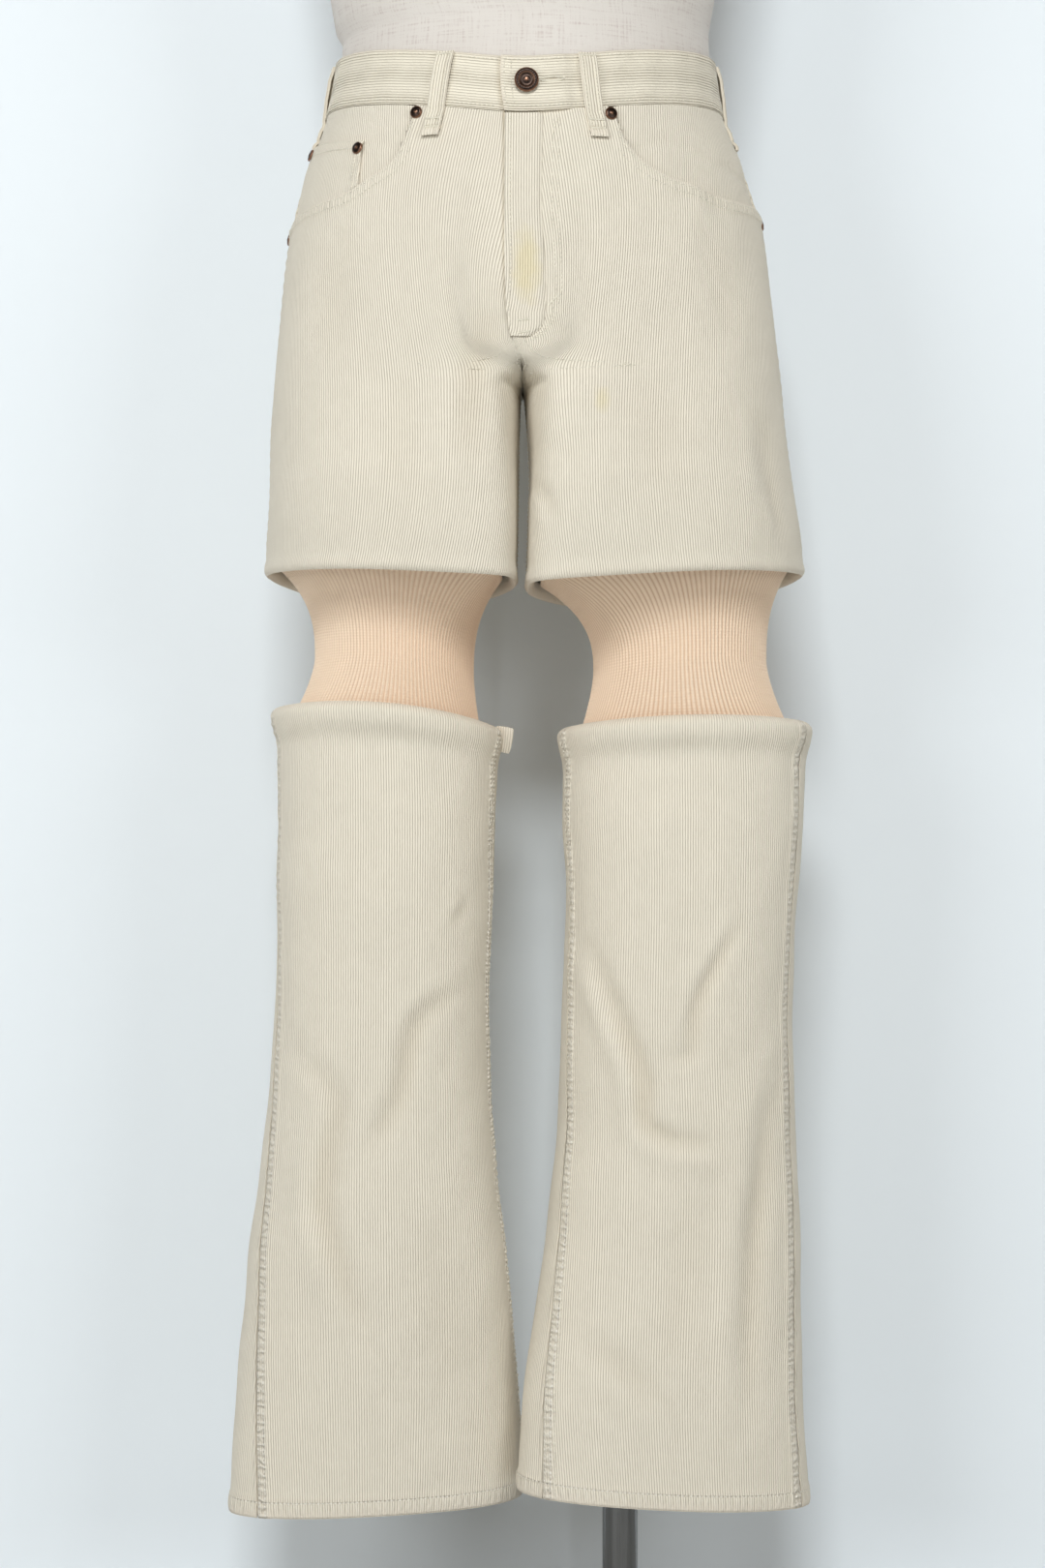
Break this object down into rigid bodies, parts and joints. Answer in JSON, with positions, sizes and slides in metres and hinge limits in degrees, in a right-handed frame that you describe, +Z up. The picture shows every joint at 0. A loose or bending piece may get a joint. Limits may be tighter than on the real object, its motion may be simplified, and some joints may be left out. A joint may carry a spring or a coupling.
{
  "type": "corduroy trousers with rib knit knees on limbless dress form",
  "caption": "Five-pocket flared corduroy trousers with rib knit tubes at the knees, worn by a linen-covered limbless dress form on a pole and round base.",
  "frame": {"origin": "on the floor, on the underside of the base plate, below the middle of the trousers", "axes": "+Z up; the trousers face -Y, so +X is the wearer's left and the viewer's right"},
  "size_m": [0.4361, 0.32, 1.6283],
  "materials": {
    "corduroy": "cream fine-wale corduroy, matt with a slight nap",
    "rib_knit": "peach rib knit, matt",
    "linen": "natural linen with slubs, matt",
    "dark_copper": "oxidised copper, satin",
    "chrome": "polished",
    "painted_steel": "grey paint, satin"
  },
  "bodies": {
    "root": {"front_right": "corduroy", "front_left": "corduroy", "back_right": "corduroy", "back_left": "corduroy", "yoke_right": "corduroy", "yoke_left": "corduroy", "waistband": "corduroy", "fly": "corduroy", "facing_right": "corduroy", "facing_left": "corduroy", "coin_pocket": "corduroy", "back_pocket_right": "corduroy", "back_pocket_left": "corduroy", "belt_loop_front_right": "corduroy", "belt_loop_front_left": "corduroy", "belt_loop_side_right": "corduroy", "belt_loop_side_left": "corduroy", "belt_loop_back": "corduroy", "shin_front_right": "corduroy", "shin_front_left": "corduroy", "shin_back_right": "corduroy", "shin_back_left": "corduroy", "knit_right": "rib_knit", "knit_left": "rib_knit", "torso": "linen", "button": "dark_copper", "rivet_pocket_top_right": "dark_copper", "rivet_pocket_top_left": "dark_copper", "rivet_pocket_side_right": "dark_copper", "rivet_pocket_side_left": "dark_copper", "rivet_coin_front": "dark_copper", "rivet_coin_side": "dark_copper", "pole": "chrome", "flange": "painted_steel", "base_plate": "painted_steel", "neck_cap": "painted_steel"}
  },
  "joints": []
}
